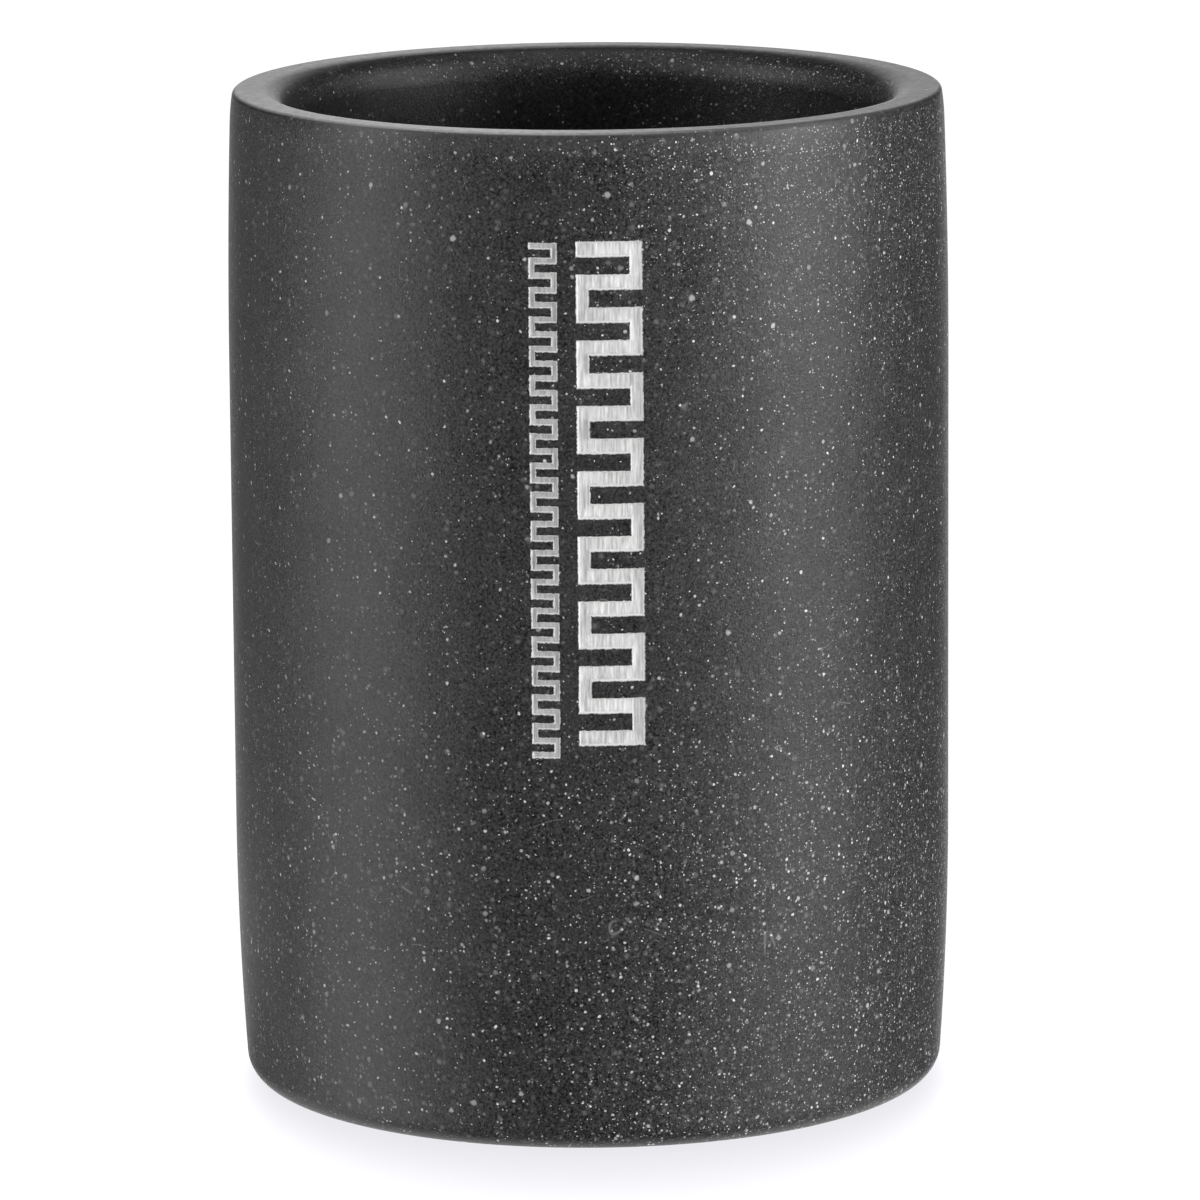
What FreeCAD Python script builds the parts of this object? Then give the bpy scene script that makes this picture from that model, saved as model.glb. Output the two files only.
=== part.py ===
# Bathroom tumbler: a one-piece cast resin cup with an engraved, paint-filled
# ornament on the front and a foam pad let into the underside.
#
# Frame: millimetres, +Z up, Z axis on the cup's axis, Z = 0 on the surface the
# tumbler stands on. The front, with the ornament, faces -Y.

import FreeCAD, Part
import os
import math
import Sketcher

V = FreeCAD.Vector
doc = FreeCAD.newDocument("tumbler")

# ---------------------------------------------------------------- dimensions
sheet = doc.addObject("Spreadsheet::Sheet", "dims")
CELLS = [
    # outside of the cup
    ("body_radius", 38.0),        # widest radius, straight middle of the wall
    ("total_height", 106.5),      # pad underside to rim
    ("base_level", 0.4),          # cup underside above the standing surface
    ("base_round", 2.9),          # rounding between underside and wall
    ("low_arc", 390.0),           # radius of the gentle curve above the base
    ("low_arc_top", 29.0),        # where that curve runs into the straight wall
    ("high_arc", 730.0),          # radius of the gentle curve below the rim
    ("high_arc_foot", 78.0),      # where that curve leaves the straight wall
    # rim
    ("rim_outer_round", 0.6),
    ("rim_flat", 2.1),
    ("rim_inner_round", 3.4),
    # inside of the cup
    ("floor_level", 8.0),
    ("floor_round", 9.0),
    ("floor_flat_radius", 21.5),
    # underside recess, pad and adhesive
    ("recess_radius", 29.6),
    ("pad_radius", 29.0),
    ("pad_thick", 1.5),
    ("pad_edge", 0.25),
    ("glue_radius", 28.6),
    ("glue_thick", 0.15),
    # broad ornament row: a square meander
    ("bold_left", 1.2),           # left edge, distance left of the axis
    ("bold_width", 6.7),
    ("bold_stroke", 1.55),        # strokes that run across the row
    ("bold_link", 1.25),          # short links along the row
    ("bold_pitch", 3.36),
    ("bold_pairs", 8),
    ("bold_foot", 43.6),
    ("bold_depth", 0.7),
    ("bold_film", 0.2),
    # narrow ornament row
    ("fine_left", 6.0),
    ("fine_width", 2.8),
    ("fine_stroke", 0.6),
    ("fine_link", 0.55),
    ("fine_pitch", 1.5),
    ("fine_pairs", 18),
    ("fine_foot", 42.3),
    ("fine_depth", 0.45),
    ("fine_film", 0.15),
    # band of wall that holds the ornament
    ("band_foot", 40.0),
    ("band_head", 98.0),
    ("band_over", 1.5),           # how far the cutting band stands off the wall
]
D = {}
for row, (name, value) in enumerate(CELLS, start=1):
    sheet.set("A%d" % row, name)
    sheet.set("B%d" % row, repr(value))
    sheet.setAlias("B%d" % row, name)
    D[name] = value
doc.recompute()
for name in D:
    D[name] = float(sheet.get(name))


# ------------------------------------------------------------------- helpers
def plane(body, role):
    for feature in body.Origin.OriginFeatures:
        if feature.Role == role:
            return feature
    raise RuntimeError("no plane " + role)


def new_body(name):
    body = doc.addObject("PartDesign::Body", name)
    body.Label = name
    return body


def new_sketch(body, name, role):
    sketch = body.newObject("Sketcher::SketchObject", name)
    sketch.AttachmentSupport = [(plane(body, role), "")]
    sketch.MapMode = "FlatFace"
    return sketch


def line(sketch, a, b):
    return sketch.addGeometry(Part.LineSegment(V(a[0], a[1], 0), V(b[0], b[1], 0)), False)


def arc(sketch, centre, radius, start, end):
    circle = Part.Circle(V(centre[0], centre[1], 0), V(0, 0, 1), radius)
    return sketch.addGeometry(Part.ArcOfCircle(circle, start, end), False)


def tie(sketch, *args):
    return sketch.addConstraint(Sketcher.Constraint(*args))


def size(sketch, name, expression, *args):
    """A dimension with a name of its own, driven by the sheet."""
    index = tie(sketch, *args)
    sketch.renameConstraint(index, name)
    sketch.setExpression("Constraints." + name, expression)


def revolve(body, sketch, name):
    feature = body.newObject("PartDesign::Revolution", name)
    feature.Profile = sketch
    feature.ReferenceAxis = (sketch, ["V_Axis"])
    feature.Angle = 360.0
    body.Tip = feature
    return feature


# ----------------------------------------------------------------- cup blank
R = D["body_radius"]
H = D["total_height"]
LA, LZ = D["low_arc"], D["low_arc_top"]
HA, HZ = D["high_arc"], D["high_arc_foot"]
base, rho = D["base_level"], D["base_round"]
ro, ri, flat = D["rim_outer_round"], D["rim_inner_round"], D["rim_flat"]
fz, fr, fx = D["floor_level"], D["floor_round"], D["floor_flat_radius"]
ceiling = D["pad_thick"] + D["glue_thick"]

# centres and contact angles of the tangent arcs, as a starting shape
cz = base + rho
cx = (R - LA) + math.sqrt((LA - rho) ** 2 - (LZ - cz) ** 2)
ang_low = math.atan2(cz - LZ, cx - (R - LA))
oz = H - ro
ox = (R - HA) + math.sqrt((HA - ro) ** 2 - (oz - HZ) ** 2)
ang_high = math.atan2(oz - HZ, ox - (R - HA))
jx = ox - flat
jz = H - ri
# inner wall: common tangent of the inner rim arc and the floor arc
dx, dz = fx - jx, (fz + fr) - jz
# unit normal n with n.(c_rim) - ri = n.(c_floor) + fr, n pointing outwards (+r)
dist = math.hypot(dx, dz)
phi = math.atan2(dz, dx)
beta = math.acos(-(ri + fr) / dist)
normal = max(((math.cos(phi + s * beta), math.sin(phi + s * beta)) for s in (1, -1)),
             key=lambda n: n[0])
ang_n = math.atan2(normal[1], normal[0])

body = new_body("cup_blank")
sk = new_sketch(body, "cup_section", "XZ_Plane")
K = (jx - ri * normal[0], jz - ri * normal[1])
L = (fx + fr * normal[0], fz + fr + fr * normal[1])
g0 = line(sk, (0, ceiling), (D["recess_radius"], ceiling))
g1 = line(sk, (D["recess_radius"], ceiling), (D["recess_radius"], base))
g2 = line(sk, (D["recess_radius"], base), (cx, base))
g3 = arc(sk, (cx, cz), rho, -math.pi / 2, ang_low)
g4 = arc(sk, (R - LA, LZ), LA, ang_low, 0.0)
g5 = line(sk, (R, LZ), (R, HZ))
g6 = arc(sk, (R - HA, HZ), HA, 0.0, ang_high)
g7 = arc(sk, (ox, oz), ro, ang_high, math.pi / 2)
g8 = line(sk, (ox, H), (jx, H))
g9 = arc(sk, (jx, jz), ri, math.pi / 2, math.pi + ang_n)
g10 = line(sk, K, L)
g11 = arc(sk, (fx, fz + fr), fr, -math.pi / 2, ang_n)
g12 = line(sk, (fx, fz), (0, fz))
g13 = line(sk, (0, fz), (0, ceiling))
tie(sk, "Coincident", g0, 2, g1, 1)
tie(sk, "Coincident", g1, 2, g2, 1)
tie(sk, "Tangent", g2, 2, g3, 1)
tie(sk, "Tangent", g3, 2, g4, 1)
tie(sk, "Tangent", g4, 2, g5, 1)
tie(sk, "Tangent", g5, 2, g6, 1)
tie(sk, "Tangent", g6, 2, g7, 1)
tie(sk, "Tangent", g7, 2, g8, 1)
tie(sk, "Tangent", g8, 2, g9, 1)
tie(sk, "Tangent", g9, 2, g10, 1)
tie(sk, "Tangent", g10, 2, g11, 2)
tie(sk, "Tangent", g11, 1, g12, 1)
tie(sk, "Coincident", g12, 2, g13, 1)
tie(sk, "Coincident", g13, 2, g0, 1)
for g in (g0, g2, g8, g12):
    tie(sk, "Horizontal", g)
for g in (g1, g5, g13):
    tie(sk, "Vertical", g)
tie(sk, "PointOnObject", g0, 1, -2)
size(sk, "ceiling", "dims.pad_thick + dims.glue_thick", "DistanceY", -1, 1, g0, 1, ceiling)
size(sk, "recess", "dims.recess_radius", "DistanceX", g0, 1, g0, 2, D["recess_radius"])
size(sk, "underside", "dims.base_level", "DistanceY", -1, 1, g2, 1, base)
size(sk, "base_round", "dims.base_round", "Radius", g3, rho)
size(sk, "low_arc", "dims.low_arc", "Radius", g4, LA)
size(sk, "low_arc_top", "dims.low_arc_top", "DistanceY", -1, 1, g5, 1, LZ)
size(sk, "body_radius", "dims.body_radius", "DistanceX", -1, 1, g5, 1, R)
size(sk, "high_arc_foot", "dims.high_arc_foot", "DistanceY", -1, 1, g5, 2, HZ)
size(sk, "high_arc", "dims.high_arc", "Radius", g6, HA)
size(sk, "rim_outer_round", "dims.rim_outer_round", "Radius", g7, ro)
size(sk, "rim_level", "dims.total_height", "DistanceY", -1, 1, g8, 1, H)
size(sk, "rim_flat", "dims.rim_flat", "DistanceX", g8, 2, g8, 1, flat)
size(sk, "rim_inner_round", "dims.rim_inner_round", "Radius", g9, ri)
size(sk, "floor_round", "dims.floor_round", "Radius", g11, fr)
size(sk, "floor_level", "dims.floor_level", "DistanceY", -1, 1, g12, 1, fz)
size(sk, "floor_flat", "dims.floor_flat_radius", "DistanceX", -1, 1, g12, 1, fx)
doc.recompute()
revolve(body, sk, "cup_turned")
doc.recompute()
cup_blank = body


# ------------------------------------------------------- ornament: meanders
def meander(row):
    """A square meander standing on the X-Z plane and reaching out past the
    front wall: hairpins of two strokes and a link, joined by links on the
    other side."""
    left, width = D[row + "_left"], D[row + "_width"]
    stroke, link = D[row + "_stroke"], D[row + "_link"]
    pitch, foot = D[row + "_pitch"], D[row + "_foot"]
    pairs = int(D[row + "_pairs"])
    reach = "dims.body_radius + dims.band_over + 0.5"
    blk = new_body(row + "_meander")

    hair = new_sketch(blk, row + "_hairpin", "XZ_Plane")
    x0, x1 = -left, width - left
    pts = [(x0, foot), (x1, foot), (x1, foot + pitch + stroke), (x0, foot + pitch + stroke),
           (x0, foot + pitch), (x1 - link, foot + pitch), (x1 - link, foot + stroke),
           (x0, foot + stroke)]
    n = len(pts)
    gs = [line(hair, pts[i], pts[(i + 1) % n]) for i in range(n)]
    for i in range(n):
        tie(hair, "Coincident", gs[i], 2, gs[(i + 1) % n], 1)
        tie(hair, "Horizontal" if i % 2 == 0 else "Vertical", gs[i])
    size(hair, "left", "dims.%s_left" % row, "DistanceX", gs[0], 1, -1, 1, left)
    size(hair, "foot", "dims.%s_foot" % row, "DistanceY", -1, 1, gs[0], 1, foot)
    size(hair, "width", "dims.%s_width" % row, "DistanceX", gs[0], 1, gs[0], 2, width)
    size(hair, "outer", "dims.%s_pitch + dims.%s_stroke" % (row, row),
         "DistanceY", gs[1], 1, gs[1], 2, pitch + stroke)
    size(hair, "upper_stroke", "dims.%s_stroke" % row, "DistanceY", gs[3], 2, gs[3], 1, stroke)
    size(hair, "link", "dims.%s_link" % row, "DistanceX", gs[4], 2, gs[1], 2, link)
    size(hair, "lower_stroke", "dims.%s_stroke" % row, "DistanceY", gs[0], 1, gs[7], 1, stroke)
    tie(hair, "Vertical", gs[0], 1, gs[3], 2)
    doc.recompute()
    pad = blk.newObject("PartDesign::Pad", row + "_hairpin_pad")
    pad.Profile = hair
    pad.setExpression("Length", reach)
    blk.Tip = pad
    doc.recompute()
    rank = blk.newObject("PartDesign::LinearPattern", row + "_hairpin_rank")
    rank.Originals = [pad]
    rank.Direction = (hair, ["V_Axis"])
    rank.setExpression("Length", "(dims.%s_pairs - 1) * 2 * dims.%s_pitch" % (row, row))
    rank.setExpression("Occurrences", "dims.%s_pairs" % row)
    blk.Tip = rank
    doc.recompute()

    bar = new_sketch(blk, row + "_link_sketch", "XZ_Plane")
    low, high = foot + pitch, foot + 2 * pitch + stroke
    pts = [(x0, low), (x0 + link, low), (x0 + link, high), (x0, high)]
    gs = [line(bar, pts[i], pts[(i + 1) % 4]) for i in range(4)]
    for i in range(4):
        tie(bar, "Coincident", gs[i], 2, gs[(i + 1) % 4], 1)
        tie(bar, "Horizontal" if i % 2 == 0 else "Vertical", gs[i])
    size(bar, "left", "dims.%s_left" % row, "DistanceX", gs[0], 1, -1, 1, left)
    size(bar, "foot", "dims.%s_foot + dims.%s_pitch" % (row, row),
         "DistanceY", -1, 1, gs[0], 1, low)
    size(bar, "link", "dims.%s_link" % row, "DistanceX", gs[0], 1, gs[0], 2, link)
    size(bar, "rise", "dims.%s_pitch + dims.%s_stroke" % (row, row),
         "DistanceY", gs[1], 1, gs[1], 2, pitch + stroke)
    doc.recompute()
    pad = blk.newObject("PartDesign::Pad", row + "_link_pad")
    pad.Profile = bar
    pad.setExpression("Length", reach)
    blk.Tip = pad
    doc.recompute()
    rank = blk.newObject("PartDesign::LinearPattern", row + "_link_rank")
    rank.Originals = [pad]
    rank.Direction = (bar, ["V_Axis"])
    rank.setExpression("Length", "(dims.%s_pairs - 2) * 2 * dims.%s_pitch" % (row, row))
    rank.setExpression("Occurrences", "dims.%s_pairs - 1" % row)
    blk.Tip = rank
    doc.recompute()
    return blk


def band(name, inner, inner_expr, outer=None, outer_expr=None):
    """A ring that follows the outside wall at a depth below it. With no outer
    depth it reaches out past the wall."""
    ring = new_body(name)
    s = new_sketch(ring, name + "_section", "XZ_Plane")
    z0, z1 = D["band_foot"], D["band_head"]
    over = D["band_over"]

    def at_head(depth):
        radius = HA - depth
        return math.asin((z1 - HZ) / radius)

    def side(depth, expr, tag):
        """straight wall and the arc above it, at one depth"""
        radius = HA - depth
        a = at_head(depth)
        st = line(s, (R - depth, z0), (R - depth, HZ))
        ar = arc(s, (R - HA, HZ), radius, 0.0, a)
        tie(s, "Vertical", st)
        tie(s, "Tangent", st, 2, ar, 1)
        size(s, tag + "_radius", "dims.body_radius - " + expr, "DistanceX", -1, 1, st, 1, R - depth)
        size(s, tag + "_foot", "dims.band_foot", "DistanceY", -1, 1, st, 1, z0)
        size(s, tag + "_bend", "dims.high_arc_foot", "DistanceY", -1, 1, st, 2, HZ)
        size(s, tag + "_arc", "dims.high_arc - " + expr, "Radius", ar, radius)
        size(s, tag + "_head", "dims.band_head", "DistanceY", -1, 1, ar, 2, z1)
        return st, ar, ((R - HA) + radius * math.cos(a), z1)

    st_i, ar_i, head_i = side(inner, inner_expr, "inner")
    if outer is None:
        out = line(s, (R + over, z0), (R + over, z1))
        tie(s, "Vertical", out)
        size(s, "outside", "dims.body_radius + dims.band_over", "DistanceX", -1, 1, out, 1, R + over)
        foot_o, head_o = (out, 1), (out, 2)
        p_foot, p_head = (R + over, z0), (R + over, z1)
    else:
        st_o, ar_o, p_head = side(outer, outer_expr, "outer")
        foot_o, head_o = (st_o, 1), (ar_o, 2)
        p_foot = (R - outer, z0)
    top = line(s, head_i, p_head)
    low = line(s, (R - inner, z0), p_foot)
    tie(s, "Coincident", top, 1, ar_i, 2)
    tie(s, "Coincident", top, 2, head_o[0], head_o[1])
    tie(s, "Coincident", low, 1, st_i, 1)
    tie(s, "Coincident", low, 2, foot_o[0], foot_o[1])
    if outer is None:
        tie(s, "Horizontal", top)
        tie(s, "Horizontal", low)
    doc.recompute()
    revolve(ring, s, name + "_turned")
    doc.recompute()
    return ring


def common(name, a, b):
    obj = doc.addObject("Part::MultiCommon", name)
    obj.Shapes = [a, b]
    obj.Label = name
    doc.recompute()
    return obj


def cut(name, a, b):
    obj = doc.addObject("Part::Cut", name)
    obj.Base = a
    obj.Tool = b
    obj.Label = name
    doc.recompute()
    return obj


paint = {}
recess = {}
for row in ("bold", "fine"):
    lines = meander(row)
    depth, film = D[row + "_depth"], D[row + "_film"]
    depth_expr = "dims.%s_depth" % row
    roof_expr = "(dims.%s_depth - dims.%s_film)" % (row, row)
    deep = band(row + "_recess_band", depth, depth_expr)
    skin = band(row + "_paint_band", depth, depth_expr, depth - film, roof_expr)
    recess[row] = common(row + "_recess", lines, deep)
    paint[row] = common("ornament_" + row, lines, skin)

stage = cut("cup_with_bold_row", cup_blank, recess["bold"])
cup_body = cut("cup_body", stage, recess["fine"])

# ------------------------------------------------------------- pad and glue
pad_body = new_body("base_pad")
sk = new_sketch(pad_body, "pad_outline", "XY_Plane")
ring = sk.addGeometry(Part.Circle(V(0, 0, 0), V(0, 0, 1), D["pad_radius"]), False)
tie(sk, "Coincident", ring, 3, -1, 1)
size(sk, "pad_radius", "dims.pad_radius", "Radius", ring, D["pad_radius"])
doc.recompute()
disc = pad_body.newObject("PartDesign::Pad", "pad_disc")
disc.Profile = sk
disc.setExpression("Length", "dims.pad_thick")
pad_body.Tip = disc
doc.recompute()
low_edges = [
    "Edge%d" % (i + 1)
    for i, e in enumerate(disc.Shape.Edges)
    if isinstance(e.Curve, Part.Circle) and abs(e.CenterOfMass.z) < 1e-6
]
soft = pad_body.newObject("PartDesign::Fillet", "pad_soft_edge")
soft.Base = (disc, low_edges)
soft.setExpression("Radius", "dims.pad_edge")
pad_body.Tip = soft
doc.recompute()

glue = doc.addObject("Part::Cylinder", "pad_adhesive")
glue.Label = "pad_adhesive"
glue.setExpression("Radius", "dims.glue_radius")
glue.setExpression("Height", "dims.glue_thick")
glue.setExpression("Placement.Base.z", "dims.pad_thick")
doc.recompute()

# ------------------------------------------------------------------- checks
for obj in doc.Objects:
    if "Invalid" in obj.State or "Error" in obj.State:
        raise RuntimeError("failed: %s %s" % (obj.Name, obj.State))

SUBPARTS = [cup_body, paint["bold"], paint["fine"], pad_body, glue]
for obj in SUBPARTS:
    shape = obj.Shape
    if shape.isNull() or not shape.isValid():
        raise RuntimeError("bad shape: " + obj.Label)
    if len(shape.Solids) != 1:
        raise RuntimeError("%s has %d solids" % (obj.Label, len(shape.Solids)))

# the recesses really cut the wall
removed = cup_blank.Shape.Volume - cup_body.Shape.Volume
wanted = 0.0
for row in ("bold", "fine"):
    n = int(D[row + "_pairs"])
    area = (2 * n * D[row + "_width"] * D[row + "_stroke"]
            + (2 * n - 1) * (D[row + "_pitch"] - D[row + "_stroke"]) * D[row + "_link"])
    wanted += area * D[row + "_depth"]
if not 0.97 < removed / wanted < 1.05:
    raise RuntimeError("recess volume %.2f, expected about %.2f" % (removed, wanted))

os.makedirs("parts", exist_ok=True)
for obj in SUBPARTS:
    obj.Shape.exportStep("parts/%s.step" % obj.Label)
    bb = obj.Shape.BoundBox
    print("%-15s volume %10.2f  x %.2f..%.2f  y %.2f..%.2f  z %.2f..%.2f" % (
        obj.Label, obj.Shape.Volume, bb.XMin, bb.XMax, bb.YMin, bb.YMax, bb.ZMin, bb.ZMax))
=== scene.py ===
import math

import bpy
import numpy as np
from mathutils import Matrix, Vector


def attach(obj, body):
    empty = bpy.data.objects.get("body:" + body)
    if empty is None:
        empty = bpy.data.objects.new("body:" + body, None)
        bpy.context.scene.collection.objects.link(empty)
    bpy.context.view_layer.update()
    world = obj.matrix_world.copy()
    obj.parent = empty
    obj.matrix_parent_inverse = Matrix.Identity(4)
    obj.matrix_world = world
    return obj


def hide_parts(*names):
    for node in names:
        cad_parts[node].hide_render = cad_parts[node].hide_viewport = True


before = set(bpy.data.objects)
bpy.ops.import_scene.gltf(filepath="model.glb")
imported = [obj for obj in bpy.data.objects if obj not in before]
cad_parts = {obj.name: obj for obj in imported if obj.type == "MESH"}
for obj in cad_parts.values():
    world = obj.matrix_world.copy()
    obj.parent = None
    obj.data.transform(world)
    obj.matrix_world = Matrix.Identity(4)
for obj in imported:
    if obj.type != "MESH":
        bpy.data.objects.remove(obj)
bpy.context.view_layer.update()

scene = bpy.context.scene

# =====================================================================
# Dimensions, in millimetres, the same as the CAD part. MM turns them to
# metres when a mesh is written.
# =====================================================================
MM = 0.001
R, H = 38.0, 106.5
BASE, BASE_ROUND = 0.4, 2.9
LOW_ARC, LOW_TOP = 390.0, 29.0
HIGH_ARC, HIGH_FOOT = 730.0, 78.0
RIM_OUT, RIM_FLAT, RIM_IN = 0.6, 2.1, 3.4
FLOOR, FLOOR_ROUND, FLOOR_FLAT = 8.0, 9.0, 21.5
RECESS_R, CEILING = 29.6, 1.65
PAD_R, PAD_T, PAD_EDGE = 29.0, 1.5, 0.25
GLUE_R = 28.6
LEAN_FOOT, LEAN_ARC = 103.2, 26.0  # the casting leans in a touch more just under the rim


class Row:
    """One engraved meander row on the front wall."""

    def __init__(self, left, width, stroke, link, pitch, pairs, foot, depth, film, cut, fill):
        self.x0, self.x1 = -left, width - left
        self.stroke, self.link, self.pitch, self.pairs = stroke, link, pitch, pairs
        self.foot, self.depth, self.film = foot, depth, film
        self.cut, self.fill = cut, fill
        self.rects = []
        n = 2 * pairs
        for k in range(n):
            z = foot + k * pitch
            self.rects.append((self.x0, self.x1, z, z + stroke))
        for k in range(n - 1):
            z = foot + k * pitch
            xa, xb = (self.x1 - link, self.x1) if k % 2 == 0 else (self.x0, self.x0 + link)
            self.rects.append((xa, xb, z, z + pitch + stroke))
        self.arr = np.array(self.rects)
        self.head = foot + (n - 1) * pitch + stroke
        self.x_edges = [self.x0, self.x0 + link, self.x1 - link, self.x1]
        self.x_in = [1, -1, 1, -1]
        self.z_edges, self.z_in = [], []
        for k in range(n):
            z = foot + k * pitch
            self.z_edges += [z, z + stroke]
            self.z_in += [1, -1]

    def inside(self, x, z):
        """Signed distance to the stroke's edge, positive inside it."""
        a = self.arr
        dx = np.maximum(a[:, 0] - x, x - a[:, 1])
        dz = np.maximum(a[:, 2] - z, z - a[:, 3])
        return float((-np.maximum(dx, dz)).max())


# cut: (distance inside the edge, depth below the wall) of the engraving
# fill: the same for the paint's face
BOLD = Row(1.2, 6.7, 1.55, 1.25, 3.36, 8, 43.6, 0.7, 0.2,
           cut=((-0.15, 0.0), (-0.08, 0.0), (-0.02, 0.022), (0.03, 0.10), (0.12, 0.70), (0.27, 0.70)),
           fill=((0.03, 0.085), (0.12, 0.41), (0.27, 0.50)))
FINE = Row(6.0, 2.8, 0.6, 0.55, 1.5, 18, 42.3, 0.45, 0.15,
           cut=((-0.12, 0.0), (-0.06, 0.0), (-0.015, 0.018), (0.025, 0.08), (0.08, 0.45), (0.17, 0.45)),
           fill=((0.025, 0.066), (0.08, 0.24), (0.17, 0.30)))


def wall_r(z):
    """Radius of the outside wall at a height."""
    if z > HIGH_FOOT:
        lean = max(z - LEAN_FOOT, 0.0) ** 2 / (2 * LEAN_ARC)
        return R - (HIGH_ARC - math.sqrt(HIGH_ARC ** 2 - (z - HIGH_FOOT) ** 2)) - lean
    if z < LOW_TOP:
        return R - (LOW_ARC - math.sqrt(LOW_ARC ** 2 - (LOW_TOP - z) ** 2))
    return R


def wall_slope(z):
    """dr/dz of the outside wall."""
    if z > HIGH_FOOT:
        return -(z - HIGH_FOOT) / math.sqrt(HIGH_ARC ** 2 - (z - HIGH_FOOT) ** 2) - max(z - LEAN_FOOT, 0.0) / LEAN_ARC
    if z < LOW_TOP:
        return (LOW_TOP - z) / math.sqrt(LOW_ARC ** 2 - (LOW_TOP - z) ** 2)
    return 0.0


# tangent points of the section's arcs
cz = BASE + BASE_ROUND
cx = (R - LOW_ARC) + math.sqrt((LOW_ARC - BASE_ROUND) ** 2 - (LOW_TOP - cz) ** 2)
ang_low = math.atan2(cz - LOW_TOP, cx - (R - LOW_ARC))
oz = H - RIM_OUT
ox = (R - HIGH_ARC) + math.sqrt((HIGH_ARC - RIM_OUT) ** 2 - (oz - HIGH_FOOT) ** 2)
jx, jz = ox - RIM_FLAT, H - RIM_IN
ang_high = math.atan(-wall_slope(oz + 0.08))
ox = wall_r(oz + RIM_OUT * math.sin(ang_high)) - RIM_OUT * math.cos(ang_high)
dx, dz = FLOOR_FLAT - jx, (FLOOR + FLOOR_ROUND) - jz
dist = math.hypot(dx, dz)
phi0 = math.atan2(dz, dx)
beta = math.acos(-(RIM_IN + FLOOR_ROUND) / dist)
nrm = max(((math.cos(phi0 + s * beta), math.sin(phi0 + s * beta)) for s in (1, -1)), key=lambda n: n[0])
ang_n = math.atan2(nrm[1], nrm[0])

# =====================================================================
# The section: rings of (r, z, normal r, normal z, tag)
# =====================================================================
section = []


def ring(r, z, nr, nz, tag):
    section.append((r, z, nr, nz, tag))


def arc_rings(cr, cz_, rad, a0, a1, n, tag, sign=1.0, skip_first=False):
    for i in range(n + 1):
        if i == 0 and skip_first:
            continue
        a = a0 + (a1 - a0) * i / n
        ring(cr + rad * math.cos(a), cz_ + rad * math.sin(a), sign * math.cos(a), sign * math.sin(a), tag)


# underside: recess ceiling, recess wall, soft lip, base ring
for r in (3.0, 9.0, 16.0, 23.0, 28.0):
    ring(r, CEILING, 0, -1, "under")
ring(RECESS_R, CEILING, 0, -1, "under_corner")
LIP = 0.25
ring(RECESS_R, BASE + LIP, -1, 0, "under")
for a in (22.5, 45.0, 67.5, 90.0):
    t = math.radians(a)
    ring(RECESS_R + LIP * (1 - math.cos(t)), BASE + LIP * (1 - math.sin(t)), -math.cos(t), -math.sin(t), "under")
for r in (31.0, 32.6, cx - 0.05):
    ring(r, BASE, 0, -1, "under")
arc_rings(cx, cz, BASE_ROUND, -math.pi / 2, ang_low, 14, "corner")
WALL_FIRST = len(section)  # first ring above the corner arc
z_corner = cz + BASE_ROUND * math.sin(ang_low)


def clear_of_rows(z):
    """True if a height keeps clear of every line of the engraved rows."""
    for row in (BOLD, FINE):
        for e, s in zip(row.z_edges, row.z_in):
            for d, _ in row.cut:
                if abs(z - (e + s * d)) < 0.035:
                    return False
    return True


BAND_LO, BAND_HI = 41.25, 96.75
wall_z = list(np.linspace(z_corner, BAND_LO, 18)[1:-1]) + [BAND_LO]
z = BAND_LO
while z + 1.9 < BAND_HI:
    z += 1.25
    k = 0
    while not clear_of_rows(z + 0.02 * ((k + 1) // 2) * (1 if k % 2 else -1)):
        k += 1
    z += 0.02 * ((k + 1) // 2) * (1 if k % 2 else -1)
    wall_z.append(z)
wall_z.append(BAND_HI)
z_lip = oz + RIM_OUT * math.sin(ang_high)
wall_z += list(np.linspace(BAND_HI, LEAN_FOOT, 5)[1:]) + list(np.linspace(LEAN_FOOT, z_lip, 8)[1:])
for z in wall_z:
    s = wall_slope(z)
    ln = math.hypot(1.0, s)
    ring(wall_r(z), z, 1 / ln, -s / ln, "wall")
arc_rings(ox, oz, RIM_OUT, ang_high, math.pi / 2, 7, "rim", skip_first=True)
for t in (0.25, 0.5, 0.75, 1.0):
    ring(ox + (jx - ox) * t, H, 0, 1, "rim")
arc_rings(jx, jz, RIM_IN, math.pi / 2, math.pi + ang_n, 16, "rim", skip_first=True)
K = (jx - RIM_IN * nrm[0], jz - RIM_IN * nrm[1])
L = (FLOOR_FLAT + FLOOR_ROUND * nrm[0], FLOOR + FLOOR_ROUND + FLOOR_ROUND * nrm[1])
for t in np.linspace(0, 1, 24)[1:]:
    ring(K[0] + (L[0] - K[0]) * t, K[1] + (L[1] - K[1]) * t, -nrm[0], -nrm[1], "inside")
for i in range(1, 15):
    a = ang_n + (-math.pi / 2 - ang_n) * i / 14
    ring(FLOOR_FLAT + FLOOR_ROUND * math.cos(a), FLOOR + FLOOR_ROUND + FLOOR_ROUND * math.sin(a),
         -math.cos(a), -math.sin(a), "inside")
for r in (17.0, 12.0, 7.0, 3.0):
    ring(r, FLOOR, 0, 1, "inside")

# =====================================================================
# Columns round the axis. phi = 0 at the front (-Y), positive towards +X.
# The two engraved rows sit in patches of closer columns.
# =====================================================================
FINE_X = [-6.75, -5.725, -4.6, -3.475, -2.55]
BOLD_X = [-1.85, -0.575, 0.65, 1.65, 2.65, 3.65, 4.875, 6.15]


def phi_of(x):
    return math.asin(x / R)


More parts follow.
